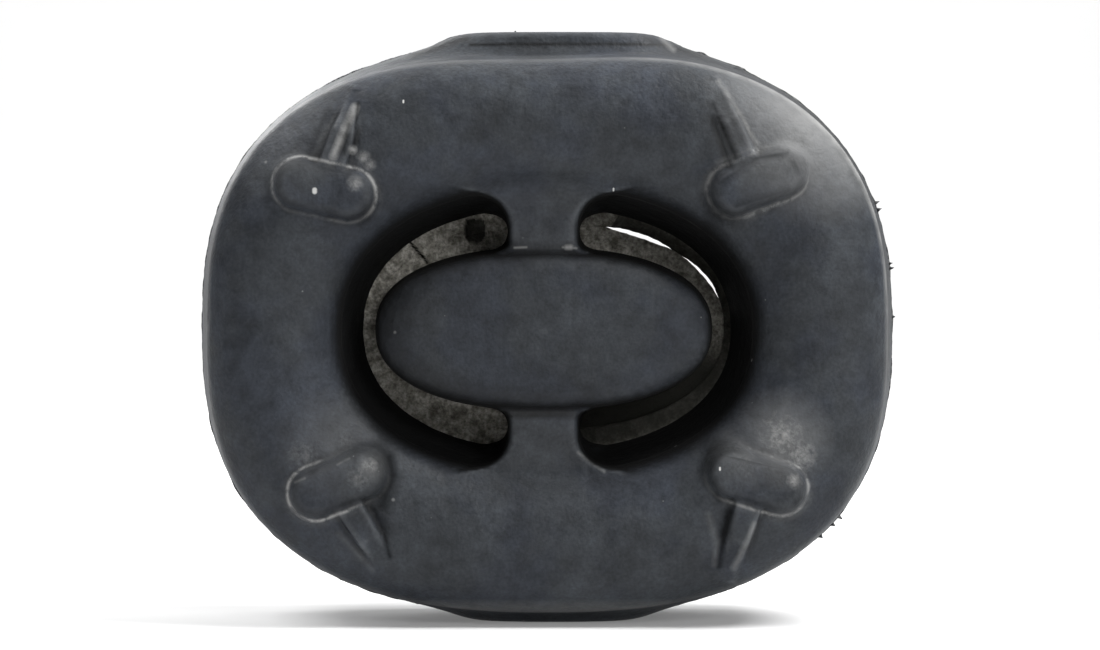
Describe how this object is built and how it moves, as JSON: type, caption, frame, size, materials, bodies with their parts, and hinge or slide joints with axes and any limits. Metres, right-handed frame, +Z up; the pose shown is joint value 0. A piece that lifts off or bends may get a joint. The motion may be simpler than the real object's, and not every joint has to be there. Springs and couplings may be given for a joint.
{
  "type": "exhaust hanger",
  "caption": "Moulded rubber hanger: an oval ring holds an oval boss on two webs, between C-shaped slots, with T-shaped buffers on its front.",
  "frame": {"origin": "on the flat of the bottom land, below the boss's centre, in the plane of the parting line", "axes": "+X to the right across the ring, +Y from the front face with the buffers to the back, +Z up"},
  "size_m": [0.0724, 0.0295, 0.0608],
  "materials": {
    "rubber": "matt moulded rubber, lightly scuffed and dusty"
  },
  "bodies": {
    "root": {"hanger_body": "rubber"}
  },
  "joints": []
}
